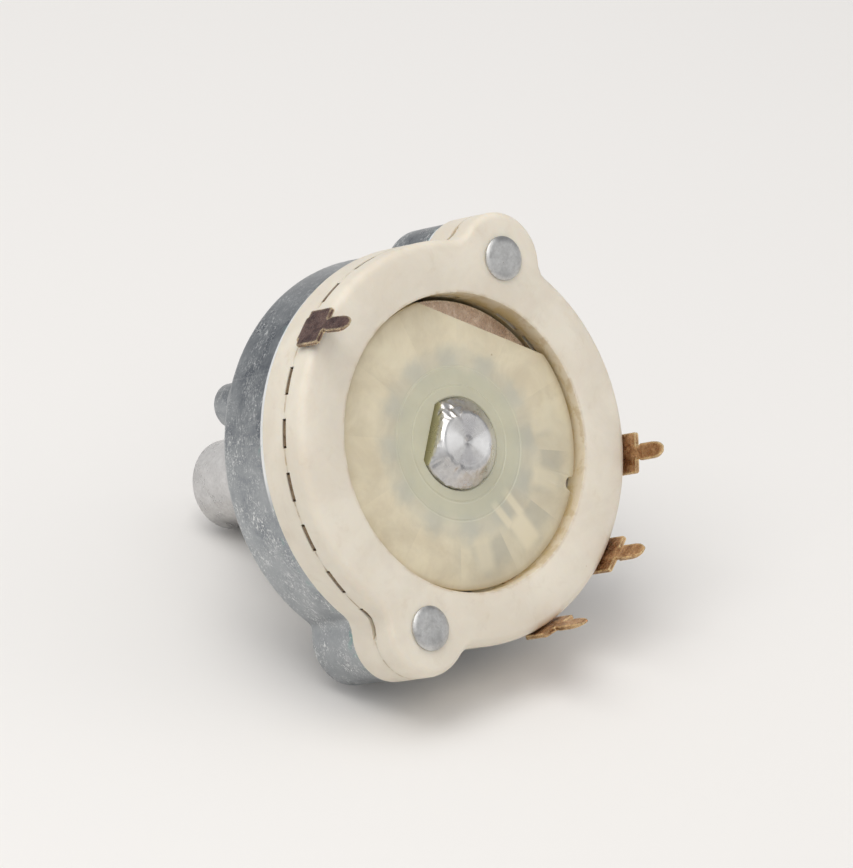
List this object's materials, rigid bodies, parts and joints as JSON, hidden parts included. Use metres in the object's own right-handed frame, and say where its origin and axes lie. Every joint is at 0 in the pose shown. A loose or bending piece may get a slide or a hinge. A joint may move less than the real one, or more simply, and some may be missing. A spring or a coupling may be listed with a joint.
{
  "type": "rotary wafer switch",
  "caption": "Round riveted rotary selector switch: shaft in a threaded bushing turns a nylon rotor between solder contacts in an insulating wafer.",
  "frame": {"origin": "on the shaft axis, at the raised front panel face that seats against a panel", "axes": "+Z along the shaft towards its tip, +X towards the rivet that the rotor's flat chord faces in the middle position"},
  "size_m": [0.0314, 0.027, 0.0302],
  "materials": {
    "zinc_plate": "blue-grey zinc plating, scratched",
    "nickel_bushing": "nickel plated brass, satin",
    "cream_insulator": "cream moulded insulator, satin",
    "natural_nylon": "translucent natural nylon, satin",
    "bright_contact": "copper-toned brass strip, lightly tarnished",
    "dark_contact": "heavily tarnished brass strip",
    "blade_brass": "tarnished brass sheet",
    "rivet_metal": "dull bright metal, spun flat",
    "shaft_metal": "turned metal, fine lathe marks",
    "index_steel": "zinc plated steel stamping",
    "spring_wire": "drawn spring steel",
    "ball_steel": "polished ball",
    "black_moulding": "black moulded nylon"
  },
  "bodies": {
    "housing": {"housing_cup": "zinc_plate", "locating_peg": "zinc_plate", "threaded_bushing": "nickel_bushing", "front_stator": "cream_insulator", "rear_stator": "cream_insulator", "common_contact": "dark_contact", "throw_contact_1": "bright_contact", "throw_contact_2": "bright_contact", "throw_contact_3": "bright_contact", "rivet_upper": "rivet_metal", "rivet_lower": "rivet_metal", "detent_carrier": "black_moulding", "stop_plate": "index_steel", "detent_spring_a": "spring_wire", "detent_spring_b": "spring_wire"},
    "rotor": {"shaft": "shaft_metal", "retaining_clip": "spring_wire", "thrust_washer": "index_steel", "index_wheel": "index_steel", "stop_arm": "index_steel", "spacer_sleeve": "natural_nylon", "rotor_disc": "natural_nylon", "rotor_blade": "blade_brass"},
    "ball_a": {"detent_ball_a": "ball_steel"},
    "ball_b": {"detent_ball_b": "ball_steel"}
  },
  "joints": [
    {"name": "rotor_turn", "type": "hinge", "parent": "housing", "child": "rotor", "pos_m": [0, 0, 0], "axis": [0, 0, 1], "range_deg": [-30, 30]},
    {"name": "ball_a_slide", "type": "slide", "parent": "housing", "child": "ball_a", "axis": [0.866, 0.5, 0], "range_m": [-0.0006, 0], "stiffness_N_per_m": 600, "springref_m": -0.0006, "deforming": ["detent_spring_a"]},
    {"name": "ball_b_slide", "type": "slide", "parent": "housing", "child": "ball_b", "axis": [-0.866, -0.5, 0], "range_m": [-0.0006, 0], "stiffness_N_per_m": 600, "springref_m": -0.0006, "deforming": ["detent_spring_b"]}
  ]
}
